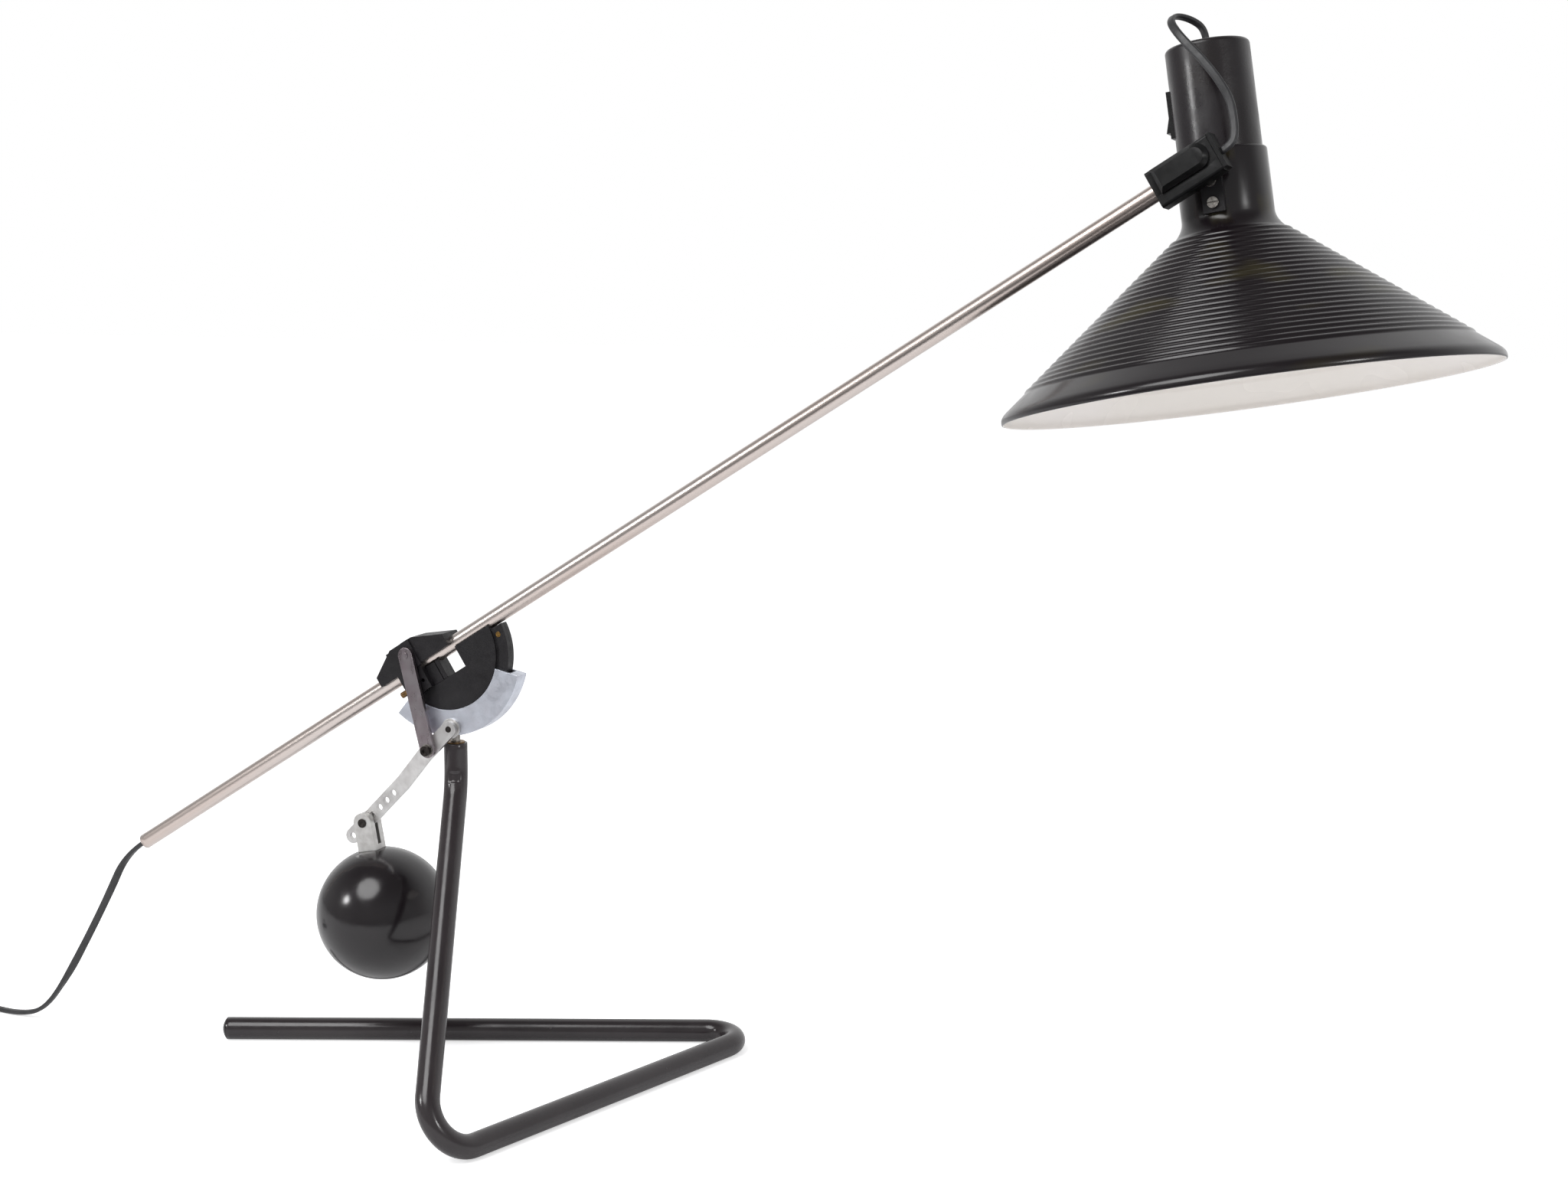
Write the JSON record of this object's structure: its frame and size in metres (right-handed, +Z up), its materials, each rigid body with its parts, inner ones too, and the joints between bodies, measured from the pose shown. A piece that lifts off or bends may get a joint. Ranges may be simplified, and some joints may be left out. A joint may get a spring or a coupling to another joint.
{
  "type": "counterweight balance desk lamp",
  "caption": "Desk lamp with a bent tube stand, a balanced straight arm on a swivelling sector disc, a ball counterweight on a linked lever and a wide stepped cone shade on a tilting head.",
  "frame": {"origin": "centre of the lamp's plan outline, on the table", "axes": "+Z up, +X along the arm towards the shade, -Y towards the side with the lever and link"},
  "size_m": [1.2044, 0.304, 0.6674],
  "materials": {
    "base_enamel": "gloss",
    "shade_enamel": "satin black enamel",
    "bracket_enamel": "satin",
    "black_plastic": "satin",
    "switch_plastic": "gloss",
    "lampholder_plastic": "satin",
    "plated_arm": "brushed",
    "zinc_plate": "zinc plated",
    "lever_metal": "satin",
    "link_steel": "dark",
    "screw_steel": "bright",
    "brass": "plain",
    "bush": "oiled",
    "ball_finish": "satin enamel",
    "rubber": "matt",
    "cord": "satin"
  },
  "bodies": {
    "base": {"base_tube": "base_enamel", "base_end_plug": "black_plastic", "pivot_bush": "bush"},
    "cradle": {"swivel_pin": "screw_steel", "cradle_front_plate": "zinc_plate", "cradle_back_plate": "zinc_plate", "cradle_spacer": "zinc_plate", "cradle_pins": "screw_steel", "lever_pivot_pin": "screw_steel", "lever_pivot_washer": "lever_metal", "cord_free": "cord", "cord_coil": "cord", "cord_tail": "cord", "coil_tie": "rubber", "plug_body": "rubber", "plug_pins": "brass"},
    "arm": {"disc_front_half": "black_plastic", "disc_back_half": "black_plastic", "disc_rivets": "brass", "arm_tube": "plated_arm", "carriage": "black_plastic", "carriage_jaw": "black_plastic", "carriage_nut_block": "black_plastic", "balance_screw": "screw_steel", "holder_body": "black_plastic", "holder_cover": "black_plastic", "holder_end_plate": "black_plastic", "head_hinge_pin": "screw_steel", "head_hinge_washer": "screw_steel", "cord_in_arm": "cord"},
    "lever": {"counterweight_lever": "lever_metal", "link_screw": "screw_steel", "link_washer": "screw_steel"},
    "link": {"link_bar": "link_steel", "link_rivet": "link_steel"},
    "weight": {"clevis": "zinc_plate", "clevis_pin": "screw_steel", "ball_stud": "screw_steel", "counterweight_ball": "ball_finish"},
    "head": {"neck_bracket": "bracket_enamel", "bracket_screws": "screw_steel", "socket_cup": "shade_enamel", "shade": "shade_enamel", "cord_grommet": "rubber", "switch_housing": "switch_plastic", "support_nipple": "zinc_plate", "nipple_bridge": "bracket_enamel", "nipple_nut": "zinc_plate", "lampholder_body": "lampholder_plastic", "lampholder_shell": "brass", "lampholder_contact": "brass", "cord_head_loop": "cord"},
    "rocker": {"switch_rocker": "switch_plastic"}
  },
  "joints": [
    {"name": "swivel", "type": "hinge", "parent": "base", "child": "cradle", "pos_m": [-0.1958, -0.01276, 0.2235], "axis": [0, 0, 1], "range_deg": [-150, 45]},
    {"name": "arm_tilt", "type": "hinge", "parent": "cradle", "child": "arm", "pos_m": [-0.1996, -0.01276, 0.2823], "axis": [0, -1, 0], "range_deg": [-33, 15], "deforming": ["cord_free"]},
    {"name": "lever_turn", "type": "hinge", "parent": "cradle", "child": "lever", "pos_m": [-0.1949, -0.01276, 0.2339], "axis": [0, -1, 0], "range_deg": [-41.5, 19]},
    {"name": "link_turn", "type": "hinge", "parent": "lever", "child": "link", "pos_m": [-0.20885, -0.01276, 0.21985], "axis": [0, -1, 0], "range_deg": [-15, 33]},
    {"name": "weight_hang", "type": "hinge", "parent": "lever", "child": "weight", "pos_m": [-0.2622, -0.01276, 0.16614], "axis": [0, 1, 0], "range_deg": [-40, 25]},
    {"name": "head_tilt", "type": "hinge", "parent": "arm", "child": "head", "pos_m": [0.27706, -0.01276, 0.58379], "axis": [-0.0555, -0.9945, 0.0886], "range_deg": [-12, 75], "deforming": ["cord_head_loop"]},
    {"name": "rocker_turn", "type": "hinge", "parent": "head", "child": "rocker", "pos_m": [0.24996, 0.029, 0.61003], "axis": [0.0555, 0.9945, -0.0886], "range_deg": [-16, 0]}
  ],
  "couplings": [
    {"joint": "lever_turn", "follows": "arm_tilt", "ratio": 1.25},
    {"joint": "link_turn", "follows": "arm_tilt", "ratio": -0.99}
  ]
}
